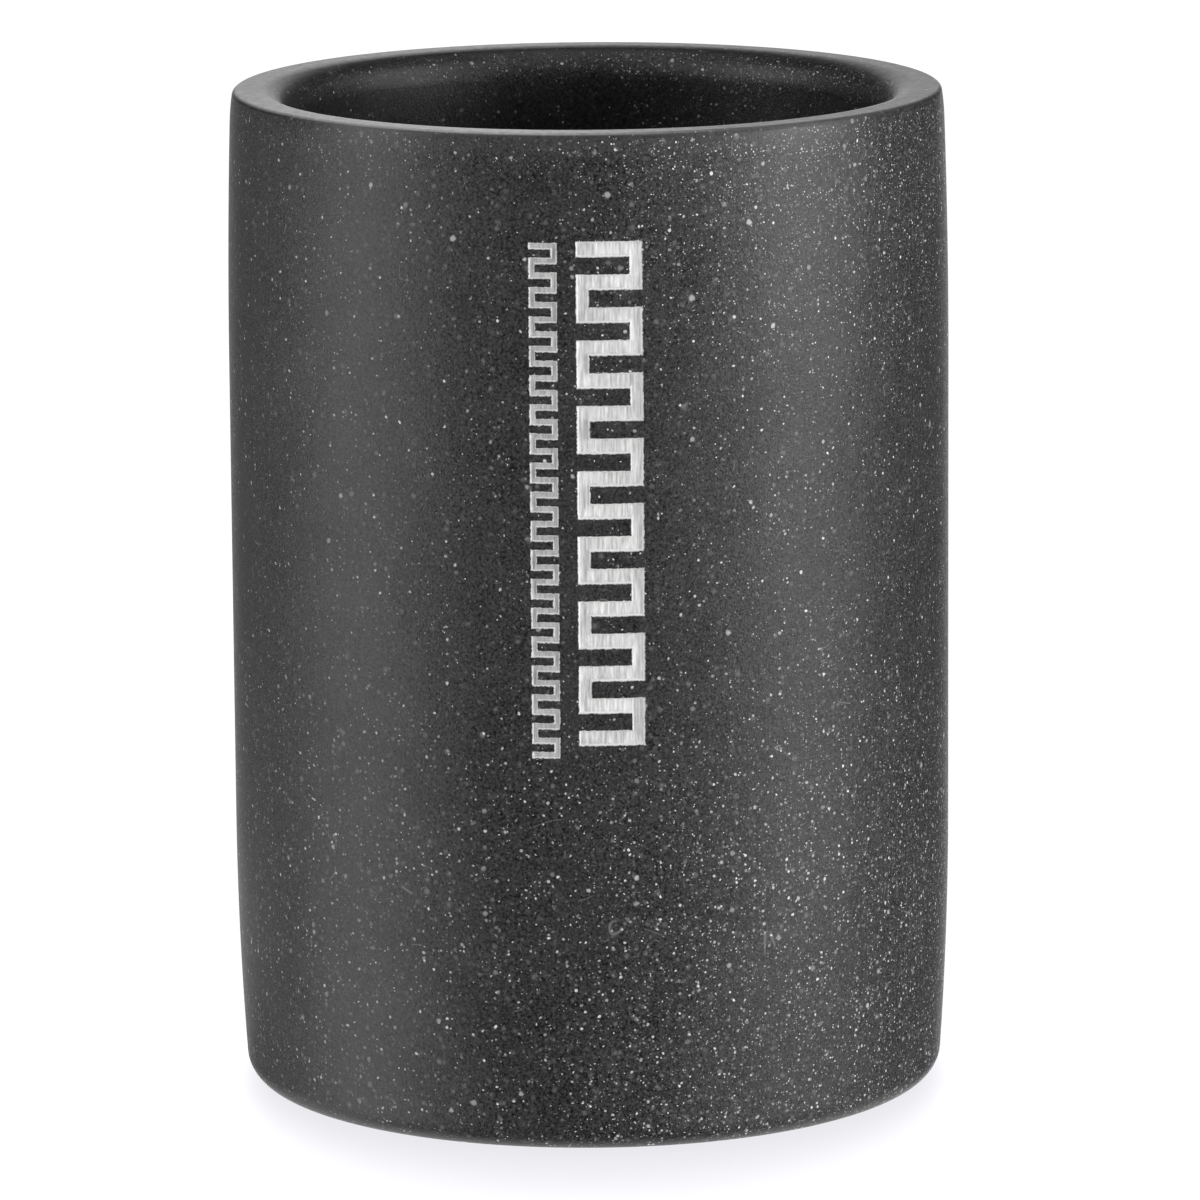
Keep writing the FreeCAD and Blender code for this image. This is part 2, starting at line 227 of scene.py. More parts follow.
front = [phi_of(x) for x in FINE_X + BOLD_X]
step = 2 * math.pi / 200
rest = 2 * math.pi - (front[-1] - front[0])
n_rest = int(round(rest / step))
columns = front + [front[-1] + rest * (i + 1) / n_rest for i in range(n_rest - 1)]
NC = len(columns)
PATCH = {}  # column cell -> row
for j in range(len(FINE_X) - 1):
    PATCH[j] = FINE
for j in range(len(FINE_X), len(FINE_X) + len(BOLD_X) - 1):
    PATCH[j] = BOLD


def dense_x(row, xs):
    vals = set(xs)
    for e, s in zip(row.x_edges, row.x_in):
        for d, _ in row.cut:
            vals.add(round(e + s * d, 6))
    return sorted(vals)


def dense_z(row, zs):
    vals = set(zs)
    for e, s in zip(row.z_edges, row.z_in):
        for d, _ in row.cut:
            vals.add(round(e + s * d, 6))
    return sorted(vals)


band_rings = [i for i, s in enumerate(section) if s[4] == "wall" and BAND_LO - 1e-6 <= s[1] <= BAND_HI + 1e-6]
B0, B1 = band_rings[0], band_rings[-1]
band_z = [section[i][1] for i in band_rings]
DX = {BOLD: dense_x(BOLD, BOLD_X), FINE: dense_x(FINE, FINE_X)}
DZ = {BOLD: dense_z(BOLD, band_z), FINE: dense_z(FINE, band_z)}


def curve(points, d):
    """Piecewise straight curve through (d, depth) points."""
    return float(np.interp(d, [p[0] for p in points], [p[1] for p in points]))


def front_point(x, z, depth):
    p = phi_of(x)
    r = wall_r(z) - depth
    return (r * math.sin(p), -r * math.cos(p), z)


# =====================================================================
# The cup mesh
# =====================================================================
verts, vert_norm, faces, face_kind, face_uvs = [], [], [], [], []
index = {}


def put(key, co, normal):
    i = index.get(key)
    if i is None:
        i = index[key] = len(verts)
        verts.append(co)
        vert_norm.append(normal)
    return i


def lathe_vertex(i, j):
    r, z, nr, nz, tag = section[i]
    p = columns[j % NC]
    if tag == "wall" and B0 <= i <= B1 and (j % NC) < len(front):
        # corner of a patch: the same key as the dense grid uses
        x = (FINE_X + BOLD_X)[j % NC]
        return dense_vertex(None, x, z)
    return put(("L", i, j % NC), (r * math.sin(p), -r * math.cos(p), z), (nr * math.sin(p), -nr * math.cos(p), nz))


def dense_vertex(row, x, z):
    depth = curve(row.cut, row.inside(x, z)) if row is not None else 0.0
    p = phi_of(x)
    s = wall_slope(z)
    ln = math.hypot(1.0, s)
    nr, nz = 1 / ln, -s / ln
    return put(("D", round(x, 6), round(z, 6)), front_point(x, z, depth), (nr * math.sin(p), -nr * math.cos(p), nz))


def between(vals, a, b):
    return [v for v in vals if a + 1e-7 < v < b - 1e-7]


def patch_of(i, j):
    """The engraved row that owns the cell above ring i, right of column j."""
    if B0 <= i < B1:
        return PATCH.get(j % NC)
    return None


FX = FINE_X + BOLD_X
for i in range(len(section) - 1):
    za, zb = section[i][1], section[i + 1][1]
    for j in range(NC):
        row = patch_of(i, j)
        if row is not None:
            xa, xb = FX[j], FX[j + 1]
            xs = [xa] + between(DX[row], xa, xb) + [xb]
            zs = [za] + between(DZ[row], za, zb) + [zb]
            for a in range(len(xs) - 1):
                for b in range(len(zs) - 1):
                    q = [(xs[a], zs[b]), (xs[a + 1], zs[b]), (xs[a + 1], zs[b + 1]), (xs[a], zs[b + 1])]
                    ds = [curve(row.cut, row.inside(*c)) for c in q]
                    kind = "wall" if max(ds) < 1e-9 else "engraved"
                    f = [dense_vertex(row, *c) for c in q]
                    if kind == "engraved":
                        # split along the diagonal that keeps the mitre sharp
                        if abs(ds[0] - ds[2]) > abs(ds[1] - ds[3]) + 1e-9:
                            faces += [(f[0], f[1], f[3]), (f[1], f[2], f[3])]
                            face_kind += [kind, kind]
                            continue
                        if abs(ds[1] - ds[3]) > abs(ds[0] - ds[2]) + 1e-9:
                            faces += [(f[0], f[1], f[2]), (f[0], f[2], f[3])]
                            face_kind += [kind, kind]
                            continue
                    faces.append(tuple(f))
                    face_kind.append(kind)
            continue
        tag = section[i + 1][4]
        f = [lathe_vertex(i, j)]
        below = patch_of(i - 1, j)
        if below is not None:
            f += [dense_vertex(below, x, za) for x in between(DX[below], FX[j], FX[j + 1])]
        f.append(lathe_vertex(i, j + 1))
        right = patch_of(i, j + 1)
        if right is not None:
            f += [dense_vertex(right, FX[(j + 1) % NC], zz) for zz in between(DZ[right], za, zb)]
        f.append(lathe_vertex(i + 1, j + 1))
        above = patch_of(i + 1, j)
        if above is not None:
            f += [dense_vertex(above, x, zb) for x in reversed(between(DX[above], FX[j], FX[j + 1]))]
        f.append(lathe_vertex(i + 1, j))
        left = patch_of(i, (j - 1) % NC)
        if left is not None:
            f += [dense_vertex(left, FX[j], zz) for zz in reversed(between(DZ[left], za, zb))]
        faces.append(tuple(f))
        face_kind.append({"wall": "wall", "rim": "rim", "inside": "inside"}.get(tag, "under"))

# close the two poles
for i, nz, kind in ((0, -1.0, "under"), (len(section) - 1, 1.0, "inside")):
    c = put(("pole", i), (0.0, 0.0, section[i][1]), (0.0, 0.0, nz))
    for j in range(NC):
        a, b = lathe_vertex(i, j), lathe_vertex(i, j + 1)
        faces.append((c, b, a) if nz < 0 else (c, a, b))
        face_kind.append(kind)


def make_mesh(name, verts_mm, faces_):
    me = bpy.data.meshes.new(name)
    me.from_pydata([tuple(c * MM for c in v) for v in verts_mm], [], faces_)
    me.validate(clean_customdata=False)
    me.update()
    ob = bpy.data.objects.new(name, me)
    scene.collection.objects.link(ob)
    for p in me.polygons:
        p.use_smooth = True
    return ob


cup = make_mesh("tumbler_cup", verts, faces)
me = cup.data

# normals: the true surface normal on the turned faces, and the mesh's own in
# the engraving, so that the wall stays unbroken right up to the cut
fn = np.zeros((len(me.polygons), 3))
me.polygons.foreach_get("normal", fn.ravel())
soft = np.zeros((len(me.vertices), 3))
for p in me.polygons:
    if face_kind[p.index] == "engraved":
        for v in p.vertices:
            soft[v] += fn[p.index] * p.area ** 0.5
ln = np.linalg.norm(soft, axis=1, keepdims=True)
soft = np.where(ln > 0, soft / np.maximum(ln, 1e-12), 0)
ring_corner = [k for k, s in enumerate(section) if s[4] == "under_corner"][0]
sharp_ring = {index[("L", ring_corner, j)] for j in range(NC)}
loop_normals = []
for p in me.polygons:
    kind = face_kind[p.index]
    n_face = fn[p.index]
    for v in p.vertices:
        if kind == "engraved":
            n = soft[v]
            # the floor and the walls of the cut meet in a crease
            if n.dot(n_face) < 0.55:
                n = n_face
        elif v in sharp_ring:
            n = n_face
        else:
            n = np.array(vert_norm[v])
        loop_normals.append(tuple(n))
me.normals_split_custom_set(loop_normals)

# how close each point of the wall is to the cut: 1 on its edge, 0 away from it
lip = np.full(len(me.vertices), -2.0, np.float32)
for key, i in index.items():
    if key[0] == "D":
        d = max(BOLD.inside(key[1], key[2]), FINE.inside(key[1], key[2]))
        lip[i] = 1.0 + d / 0.15 if d < 0 else 1.0
near_cut = me.attributes.new("lip", "FLOAT", "POINT")
near_cut.data.foreach_set("value", np.maximum(lip, -2.0))

# texture layout: the front half of the wall gets the largest share
uv = me.uv_layers.new(name="OFBake")


def polar(x, y, r_scale, cu, cv):
    return cu + x * r_scale, cv + y * r_scale


Z_LO, Z_HI = BASE, H
for p in me.polygons:
    kind = face_kind[p.index]
    c = p.center
    phis = []
    for li in p.loop_indices:
        co = me.vertices[me.loops[li].vertex_index].co
        phis.append((li, co))
    cphi = math.atan2(c.x, -c.y)
    tagc = kind
    for li, co in phis:
        x, y, z = co.x / MM, co.y / MM, co.z / MM
        a = math.atan2(x, -y)
        while a - cphi > math.pi:
            a -= 2 * math.pi
        while a - cphi < -math.pi:
            a += 2 * math.pi
        if tagc in ("wall", "engraved"):
            t = (z - 2.5) / (106.2 - 2.5)
            if abs(cphi) <= math.pi / 2:
                u, v = 0.006 + 0.626 * (a / math.pi + 0.5), 0.452 + 0.542 * t
            else:
                b = a - math.pi if cphi > 0 else a + math.pi
                u, v = 0.006 + 0.448 * (b / math.pi + 0.5), 0.056 + 0.386 * t
        elif tagc == "inside":
            r = math.hypot(x, y)
            if c.z / MM < FLOOR + FLOOR_ROUND:
                # floor disc, opened out by arc length
                if r > FLOOR_FLAT:
                    s = FLOOR_FLAT + FLOOR_ROUND * math.acos(max(-1.0, min(1.0, 1 - (z - FLOOR) / FLOOR_ROUND)))
                else:
                    s = r
                k = s / r if r > 1e-6 else 1.0
                u, v = polar(x * k, y * k, 0.098 / 36.0, 0.818, 0.842)
            else:
                t = (z - 16.5) / (103.5 - 16.5)
                u, v = 0.470 + 0.524 * (a / (2 * math.pi) + 0.5), 0.056 + 0.270 * t
        elif tagc == "rim":
            r = math.hypot(x, y)
            drop = H - z
            s = r
            if r < jx:
                ang = math.acos(max(-1.0, min(1.0, 1 - drop / RIM_IN)))
                s = jx - RIM_IN * ang
            elif r > ox:
                s = ox + RIM_OUT * math.acos(max(-1.0, min(1.0, 1 - drop / RIM_OUT)))
            k = s / r
            u, v = polar(x * k, y * k, 0.150 / 37.9, 0.818, 0.842)
        else:
            r = math.hypot(x, y)
            s = r
            if r > cx and z > BASE:
                s = cx + BASE_ROUND * math.acos(max(-1.0, min(1.0, 1 - (z - BASE) / BASE_ROUND)))
            elif r < RECESS_R + LIP + 1e-6 and z > BASE + 1e-6:
                s = min(r, RECESS_R) * 0.94 if z > CEILING - 1e-6 else RECESS_R * 0.94 + (CEILING - z) * 1.2
            k = s / r if r > 1e-6 else 1.0
            u, v = polar(x * k, y * k, 0.150 / 39.5, 0.818, 0.520)
        uv.data[li].uv = (u, v)

# =====================================================================
# The paint in the engraved rows: a closed film that wets the cut's walls
# =====================================================================


def paint_film(name, row, seed):
    rng = np.random.default_rng(seed)
    xs = [x for x in DX[row] if row.x0 - 0.2 < x < row.x1 + 0.2]
    zs = [z for z in DZ[row] if row.foot - 0.2 < z < row.head + 0.2]
    # closer columns along the strokes carry the brush's unevenness
    extra = np.arange(row.x0 + row.link + 0.35, row.x1 - row.link - 0.3, 0.28 if row is BOLD else 0.25)
    xs = sorted(set(xs) | {round(float(e), 6) for e in extra
                           if min(abs(float(e) - x) for x in xs) > 0.07})
    start = row.fill[0][0] - 1e-6
    wave = [(rng.uniform(2.5, 9.0), rng.uniform(0, 6.28), rng.uniform(0.2, 1.2)) for _ in range(7)]

    def ripple(x, z):
        s = sum(math.sin(f * x + ph + 0.35 * g * z) for f, ph, g in wave) / len(wave)
        return s * (0.022 if row is BOLD else 0.010)

    top, bottom, vs, fs, rimmed = {}, {}, [], [], []
    wide = row.fill[-1][0]

    def vert(a, b):
        x, z = xs[a], zs[b]
        if (a, b) not in top:
            d = row.inside(x, z)
            hi = curve(row.fill, d)
            if d >= row.fill[1][0] - 1e-6:
                hi += ripple(x, z)
            lo = curve(row.cut, d)
            top[(a, b)] = len(vs)
            vs.append(front_point(x, z, hi))
            bottom[(a, b)] = len(vs)
            vs.append(front_point(x, z, max(lo, hi + 0.004)))
            rimmed.extend([max(0.0, 1.0 - d / wide)] * 2)
        return top[(a, b)], bottom[(a, b)]

    cells = {}
    for a in range(len(xs) - 1):
        for b in range(len(zs) - 1):
            q = [(xs[a], zs[b]), (xs[a + 1], zs[b]), (xs[a + 1], zs[b + 1]), (xs[a], zs[b + 1])]
            mid = ((xs[a] + xs[a + 1]) / 2, (zs[b] + zs[b + 1]) / 2)
            if min(row.inside(*c) for c in q) >= start and row.inside(*mid) > 0:
                cells[(a, b)] = True
    for (a, b) in cells:
        t = [vert(*k) for k in ((a, b), (a + 1, b), (a + 1, b + 1), (a, b + 1))]
        fs.append((t[0][0], t[1][0], t[2][0], t[3][0]))
        fs.append((t[3][1], t[2][1], t[1][1], t[0][1]))
        for (da, db), (p, q) in (((0, -1), (0, 1)), ((1, 0), (1, 2)), ((0, 1), (2, 3)), ((-1, 0), (3, 0))):
            if (a + da, b + db) not in cells:
                fs.append((t[p][0], t[p][1], t[q][1], t[q][0]))
    ob = make_mesh(name, vs, fs)
    ob.data.set_sharp_from_angle(angle=math.radians(50))
    near = ob.data.attributes.new("edge", "FLOAT", "POINT")
    near.data.foreach_set("value", rimmed)
    layer = ob.data.uv_layers.new(name="OFBake")
    span = row.head - row.foot
    half = row.foot + span / 2
    for p in ob.data.polygons:
        up = p.normal.y < -0.2
        for li in p.loop_indices:
            co = ob.data.vertices[ob.data.loops[li].vertex_index].co
            x, z = co.x / MM, co.z / MM
            hi = p.center.z / MM > half
            k = 1.9 / (span + 1.0)
            u = 0.02 + (x - row.x0) * k + (0.26 if hi else 0.0) + (0.0 if up else 0.52)
            v = 0.02 + (z - (half if hi else row.foot)) * k
            layer.data[li].uv = (u, v)
    return ob


paint_bold = paint_film("ornament_bold_paint", BOLD, 11)
paint_fine = paint_film("ornament_fine_paint", FINE, 23)


# =====================================================================
# Foam pad and its adhesive film, under the base
# =====================================================================
def turned(name, prof, n=160):
    """A closed body of revolution from (r, z) points, pole to pole."""
    vs, fs = [], []
    rings = []
    for r, z in prof:
        if r < 1e-9:
            rings.append([len(vs)])
            vs.append((0, 0, z))
        else:
            rings.append(list(range(len(vs), len(vs) + n)))
            vs += [(r * math.sin(2 * math.pi * k / n), -r * math.cos(2 * math.pi * k / n), z) for k in range(n)]
    for a, b in zip(rings, rings[1:]):
        for k in range(n):
            l = (k + 1) % n
            if len(a) == 1:
                fs.append((a[0], b[l], b[k]))
            elif len(b) == 1:
                fs.append((a[k], a[l], b[0]))
            else:
                fs.append((a[k], a[l], b[l], b[k]))
    return make_mesh(name, vs, fs)


pad_prof = [(0, 0), (6, 0), (12, 0), (18, 0), (24, 0), (27.5, 0), (PAD_R - PAD_EDGE, 0)]
for a in range(1, 7):
    t = math.pi / 2 * a / 6
    pad_prof.append((PAD_R - PAD_EDGE + PAD_EDGE * math.sin(t), PAD_EDGE - PAD_EDGE * math.cos(t)))
# a die-cut foam edge is pinched a little at mid height
pad_prof += [(PAD_R - 0.04, 0.55), (PAD_R - 0.07, 0.85), (PAD_R - 0.04, 1.15), (PAD_R - 0.01, 1.38),
             (PAD_R - 0.05, 1.47), (PAD_R - 0.12, PAD_T), (24, PAD_T), (12, PAD_T), (0, PAD_T)]
pad = turned("base_pad_foam", pad_prof)
pad.data.set_sharp_from_angle(angle=math.radians(40))
glue_prof = [(0, PAD_T), (14, PAD_T), (GLUE_R - 0.05, PAD_T), (GLUE_R, PAD_T + 0.04), (GLUE_R, CEILING - 0.04),
             (GLUE_R - 0.05, CEILING), (14, CEILING), (0, CEILING)]
glue = turned("pad_adhesive_film", glue_prof, 128)
glue.data.set_sharp_from_angle(angle=math.radians(40))


# =====================================================================
# Materials
# =====================================================================
class Nodes:
    def __init__(self, name):
        self.mat = bpy.data.materials.new(name)
        self.mat.use_nodes = True
        self.nt = self.mat.node_tree
        self.nt.nodes.clear()
        self.out = self.new("ShaderNodeOutputMaterial")
        self.bsdf = self.new("ShaderNodeBsdfPrincipled")
        self.link(self.bsdf.outputs[0], self.out.inputs["Surface"])

    def new(self, kind, **props):
        n = self.nt.nodes.new(kind)
        for k, v in props.items():
            setattr(n, k, v)
        return n

    def link(self, a, b):
        self.nt.links.new(a, b)

    def feed(self, socket, value):
        if hasattr(value, "links") or isinstance(value, bpy.types.NodeSocket):
            self.link(value, socket)
        else:
            socket.default_value = value

    def math(self, op, a, b=None, c=None, clamp=False):
        n = self.new("ShaderNodeMath", operation=op)
        n.use_clamp = clamp
        self.feed(n.inputs[0], a)
        if b is not None:
            self.feed(n.inputs[1], b)
        if c is not None:
            self.feed(n.inputs[2], c)
        return n.outputs[0]

    def remap(self, value, a, b, c=0.0, d=1.0, smooth=False):
        n = self.new("ShaderNodeMapRange")
        n.interpolation_type = "SMOOTHSTEP" if smooth else "LINEAR"
        n.clamp = True
        self.feed(n.inputs["Value"], value)
        self.feed(n.inputs["From Min"], a)
        self.feed(n.inputs["From Max"], b)
        self.feed(n.inputs["To Min"], c)
        self.feed(n.inputs["To Max"], d)
        return n.outputs[0]

    def mm(self):
        """Position on the object, in millimetres."""
        tc = self.new("ShaderNodeTexCoord")
        v = self.new("ShaderNodeVectorMath", operation="SCALE")
        self.link(tc.outputs["Object"], v.inputs[0])
        v.inputs["Scale"].default_value = 1000.0
        return v.outputs[0]

    def shift(self, vec, offset):
        v = self.new("ShaderNodeVectorMath", operation="ADD")
        self.link(vec, v.inputs[0])
        v.inputs[1].default_value = offset
        return v.outputs[0]

    def stretch(self, vec, factor):
        v = self.new("ShaderNodeVectorMath", operation="MULTIPLY")
        self.link(vec, v.inputs[0])
        v.inputs[1].default_value = factor
        return v.outputs[0]

    def warp(self, vec, scale, amount):
        """Bend space with a noise, by about the amount in millimetres."""
        n = self.noise(vec, scale, 1.0)
        c = self.new("ShaderNodeVectorMath", operation="SUBTRACT")
        self.link(n.outputs["Color"], c.inputs[0])
        c.inputs[1].default_value = (0.5, 0.5, 0.5)
        s = self.new("ShaderNodeVectorMath", operation="SCALE")
        self.link(c.outputs[0], s.inputs[0])
        s.inputs["Scale"].default_value = amount * 5.0
        a = self.new("ShaderNodeVectorMath", operation="ADD")
        self.link(vec, a.inputs[0])
        self.link(s.outputs[0], a.inputs[1])
        return a.outputs[0]

    def attribute(self, name):
        n = self.new("ShaderNodeAttribute")
        n.attribute_name = name
        return n.outputs["Fac"]

    def noise(self, vec, scale, detail=2.0, rough=0.5, distort=0.0):
        n = self.new("ShaderNodeTexNoise")
        self.link(vec, n.inputs["Vector"])
        n.inputs["Scale"].default_value = scale
        n.inputs["Detail"].default_value = detail
        n.inputs["Roughness"].default_value = rough
        n.inputs["Distortion"].default_value = distort
        return n

    def mix(self, fac, a, b):
        n = self.new("ShaderNodeMix", data_type="RGBA")
        self.feed(n.inputs[0], fac)
        self.feed(n.inputs[6], a)
        self.feed(n.inputs[7], b)
        return n.outputs[2]

    def bump(self, height, strength, distance, normal=None):
        n = self.new("ShaderNodeBump")
        n.inputs["Strength"].default_value = strength
        n.inputs["Distance"].default_value = distance
        self.link(height, n.inputs["Height"])
        if normal is not None:
            self.link(normal, n.inputs["Normal"])
        return n.outputs[0]

    def grains(self, vec, cell, offset, share, r_min, r_max, soft, low, high, power=2.0):
        """Round grains scattered in depth, cut by the surface: one candidate
        to a cell, of which a share exists, with its own size and whiteness."""
        v = self.new("ShaderNodeTexVoronoi", voronoi_dimensions="3D", feature="F1")
        self.link(self.shift(vec, offset), v.inputs["Vector"])
        v.inputs["Scale"].default_value = 1.0 / cell
        v.inputs["Randomness"].default_value = 1.0
        sep = self.new("ShaderNodeSeparateColor")
        self.link(v.outputs["Color"], sep.inputs[0])
        big = self.math("POWER", sep.outputs[1], power)
        rad = self.remap(big, 0.0, 1.0, r_min / cell, r_max / cell)
        outer = self.math("MULTIPLY", rad, 1.0 + soft)
        inner = self.math("MULTIPLY", rad, 1.0 - soft)
        body = self.remap(v.outputs["Distance"], outer, inner, 0.0, 1.0, smooth=True)
        there = self.math("LESS_THAN", sep.outputs[0], share)
        white = self.remap(self.math("POWER", sep.outputs[2], 2.3), 0.0, 1.0, low, high)
        return self.math("MULTIPLY", self.math("MULTIPLY", body, there), white)


def resin():
    m = Nodes("speckled_resin")
    p = m.mm()
    # the grains are crushed mineral, not beads: bend the space they sit in
    q = m.warp(m.warp(p, 2.3, 0.05), 6.5, 0.022)

    xyz = m.new("ShaderNodeSeparateXYZ")
    m.link(p, xyz.inputs[0])
    x, z = xyz.outputs[0], xyz.outputs[2]

    # grains settled while the resin set: more of them low down, in drifting clouds, and
    # hardly any on the sanded rim; more towards +X and up high, the tiny ones most, partly as painted glints of the
    # lamps on that side
    low = m.remap(z, 60.0, 20.0, 0.0, 1.0, smooth=True)
    high = m.remap(z, 74.0, 100.0, 0.0, 1.0, smooth=True)
    side = m.remap(x, -10.0, 18.0, 0.0, 1.0, smooth=True)
    cloud = m.remap(m.noise(p, 0.09, 2.0, 0.55).outputs["Fac"], 0.34, 0.66)
    rim = m.remap(z, 105.5, 106.2, 1.0, 0.10)
    away = m.math("SQRT", m.math("ADD", m.math("POWER", x, 2.0), m.math("POWER", xyz.outputs[1], 2.0)))
    # inner marks the inside of the cup below the rim; the lines below use it to paint shade into the cup
    inner = m.math("MULTIPLY", m.remap(away, 34.0, 35.0, 1.0, 0.0), m.remap(z, 104.2, 102.4, 0.0, 1.0))
    many = m.math("MULTIPLY_ADD", cloud, 0.36, 0.36)
    many = m.math("MULTIPLY_ADD", low, m.math("MULTIPLY_ADD", side, 1.04, 0.92), many)
    many = m.math("MULTIPLY_ADD", side, m.math("MULTIPLY_ADD", high, 0.45, 0.22), many)
    many = m.math("MULTIPLY", many, rim)
    tiny = m.math("MULTIPLY_ADD", high, 3.4, m.math("MULTIPLY_ADD", low, 1.9, 0.45))
    tiny = m.math("MULTIPLY_ADD", side, tiny, m.math("MULTIPLY_ADD", cloud, 0.4, 0.30))
    tiny = m.math("ADD", tiny, m.remap(z, 101.5, 104.0, 0.0, 1.8))
    # painted shade: fewer tiny grains inside the cup
    tiny = m.math("MULTIPLY", tiny, m.math("MULTIPLY", rim, m.remap(inner, 0.0, 1.0, 1.0, 0.5)))
    # painted light: the grains are made whiter towards +X, the side the strong lamps light from
    lit_side = m.remap(x, -30.0, 12.0)

    g_mid = m.grains(q, 0.46, (0, 0, 0), m.math("MULTIPLY", many, 0.27), 0.066, 0.175, 0.27,
                     0.09, m.math("MULTIPLY_ADD", lit_side, 0.22, 0.58), 2.0)
    g_big = m.grains(q, 1.20, (31.7, 12.3, 5.1), m.math("MULTIPLY", many, 0.22), 0.13, 0.31, 0.40,
                     0.09, m.math("MULTIPLY_ADD", lit_side, 0.14, 0.34), 2.5)
    g_deep = m.grains(q, 0.80, (7.7, 41.3, 15.9), m.math("MULTIPLY_ADD", many, 0.42, 0.32), 0.10, 0.26, 0.90,
                      0.02, 0.11, 1.5)
    g_tiny = m.grains(q, 0.27, (17.1, 3.3, 55.5), m.math("MULTIPLY", tiny, 0.16), 0.038, 0.080, 0.30,
                      0.14, m.math("MULTIPLY_ADD", lit_side, 0.40, 0.60), 2.0)
    grain = m.math("MAXIMUM", m.math("MAXIMUM", g_mid, g_big), m.math("MAXIMUM", g_deep, g_tiny))

    # a few hair-thin marks: short pieces of a noise's level lines
    hair = m.noise(m.shift(p, (3.0, 70.0, 11.0)), 0.16, 0.0).outputs["Fac"]
    hair = m.remap(m.math("ABSOLUTE", m.math("SUBTRACT", hair, 0.5)), 0.0, 0.006, 0.13, 0.0)
    where = m.noise(m.shift(p, (50.0, 9.0, 33.0)), 0.36, 0.0).outputs["Fac"]
    hair = m.math("MULTIPLY", hair, m.remap(where, 0.72, 0.77))
    grain = m.math("MAXIMUM", grain, m.math("MULTIPLY", hair, rim))
    # painted shade: the grains inside the cup are dimmed
    grain = m.math("MULTIPLY", grain, m.remap(inner, 0.0, 1.0, 1.0, 0.52))

    # body colour: charcoal with a slow mottle and a fine mineral dust
    mott = m.noise(p, 0.16, 2.0, 0.6).outputs["Fac"]
    dust = m.noise(p, 3.4, 2.0, 0.65).outputs["Fac"]
    powder = m.noise(m.shift(p, (9.0, 21.0, 4.0)), 6.0, 1.0, 0.6).outputs["Fac"]
    powder = m.math("MULTIPLY", m.math("SUBTRACT", powder, 0.5), m.math("MULTIPLY_ADD", side, 0.40, 0.45))
    fine = m.math("MULTIPLY_ADD", m.math("SUBTRACT", dust, 0.5), 0.95, 0.5)
    fac = m.math("MULTIPLY_ADD", m.math("SUBTRACT", mott, 0.5), 0.20, m.math("ADD", fine, powder))
    body = m.mix(m.remap(fac, 0.295, 0.735), (0.0035, 0.0035, 0.0038, 1), (0.0560, 0.0560, 0.0566, 1))
    # painted shade: the inside of the cup is darkened towards black
    body = m.mix(m.math("MULTIPLY", inner, 0.15), body, (0.0, 0.0, 0.0, 1))
    # painted highlight: a paler band just under the front of the rim, standing in for the lamps' highlight on the
    # wall there
    rim_glow = m.math("MULTIPLY", m.remap(z, 103.3, 105.7, 0.0, 0.24, smooth=True),
                   m.remap(m.math("ABSOLUTE", x), 30.0, 22.0, 0.0, 1.0, smooth=True))
    rim_glow = m.math("MULTIPLY", rim_glow, m.remap(xyz.outputs[1], 0.0, -10.0, 0.0, 1.0))
    rim_glow = m.math("MULTIPLY", rim_glow, m.remap(away, 35.4, 36.4, 0.0, 1.0))
    body = m.mix(rim_glow, body, (0.080, 0.080, 0.080, 1))
    # the rim was sanded flat and rubbed a little unevenly; its paler colour is partly that sanding and partly painted
    # sheen, made lighter towards the left and the front
    flat = m.remap(z, 106.25, 106.45)
    rub = m.noise(m.shift(p, (14.0, 2.0, 8.0)), 1.1, 4.0, 0.66).outputs["Fac"]
    rub = m.remap(rub, 0.34, 0.64, 0.66, 1.0)
    # painted sheen: lighter towards the left and towards the front
    sheen_side = m.math("MULTIPLY", m.remap(x, -8.0, 14.0, 1.0, 0.22), m.remap(xyz.outputs[1], 0.0, -36.0, 0.45, 1.0))
    pale = m.math("MULTIPLY", m.math("MULTIPLY", flat, rub), sheen_side)
    body = m.mix(pale, body, (0.52, 0.52, 0.515, 1))
    colour = m.mix(grain, body, (0.90, 0.90, 0.89, 1))
    # paint left on the lip of the engraving, in ragged flecks
    smear = m.noise(p, 3.1, 3.0, 0.65).outputs["Fac"]
    smear = m.math("MULTIPLY_ADD", m.math("SUBTRACT", smear, 0.5), 2.1, m.attribute("lip"))
    colour = m.mix(m.remap(smear, 0.62, 0.92, 0.0, 0.85), colour, (0.70, 0.70, 0.69, 1))
    m.link(colour, m.bsdf.inputs["Base Color"])

    rough = m.math("MULTIPLY_ADD", m.math("SUBTRACT", dust, 0.5), m.remap(flat, 0.0, 1.0, 0.30, 0.12), 0.38)
    rough = m.math("MULTIPLY_ADD", m.math("MULTIPLY", flat, m.math("SUBTRACT", 1.0, rub)), 0.20, rough)
    m.link(rough, m.bsdf.inputs["Roughness"])
    m.bsdf.inputs["Specular IOR Level"].default_value = 0.45

    micro = m.noise(p, 4.6, 2.0, 0.6).outputs["Fac"]
    micro = m.math("MULTIPLY", micro, m.remap(z, 105.3, 106.1, 1.0, 0.12))
    nrm1 = m.bump(micro, 0.9, 0.00006)
    peel = m.noise(p, 0.55, 2.0, 0.5).outputs["Fac"]
    nrm2 = m.bump(peel, 0.10, 0.0004, nrm1)
    m.link(nrm2, m.bsdf.inputs["Normal"])
    return m.mat


